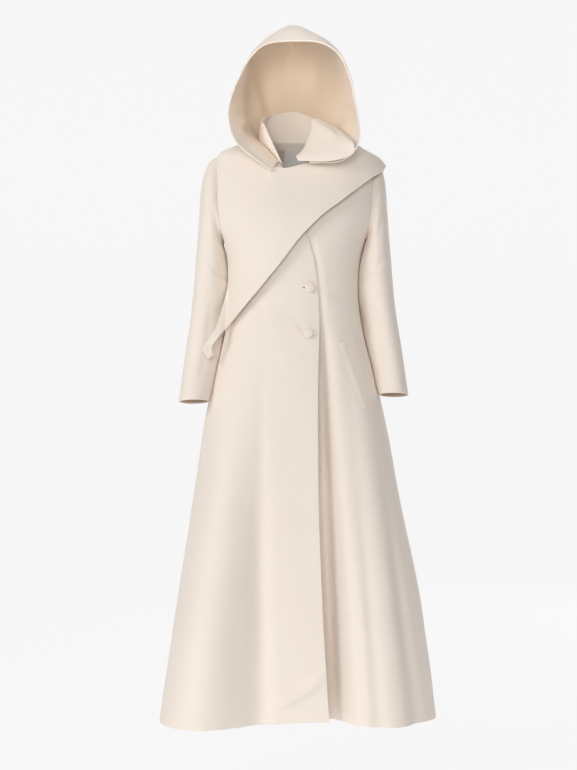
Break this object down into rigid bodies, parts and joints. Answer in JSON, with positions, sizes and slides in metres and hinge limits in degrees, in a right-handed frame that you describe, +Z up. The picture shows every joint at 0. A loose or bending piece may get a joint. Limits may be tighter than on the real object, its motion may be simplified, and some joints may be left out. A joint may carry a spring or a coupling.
{
  "type": "hooded coat with draped front panel",
  "caption": "Long hooded coat, fitted at the waist and flared to the hem, with an inner collar, long set-in sleeves, an off-centre button closing and a draped diagonal front panel.",
  "frame": {"origin": "base of the neck on the middle plane, level with the high points of the shoulder seams, where the wearer's neck and shoulders hold the coat up", "axes": "+Z up, -Y the front of the coat, +X the wearer's left"},
  "size_m": [0.708, 0.439, 1.7879],
  "materials": {
    "wool_coating": "matte brushed wool",
    "neck_tape": "matte twill",
    "label_satin": "soft satin"
  },
  "bodies": {
    "root": {"front_right": "wool_coating", "front_left": "wool_coating", "back_right": "wool_coating", "back_left": "wool_coating", "sleeve_right": "wool_coating", "sleeve_left": "wool_coating", "hood_right": "wool_coating", "hood_left": "wool_coating", "collar": "wool_coating", "drape": "wool_coating", "button_upper": "wool_coating", "button_lower": "wool_coating", "pocket_welt": "wool_coating", "neck_facing": "neck_tape", "label": "label_satin"}
  },
  "joints": []
}
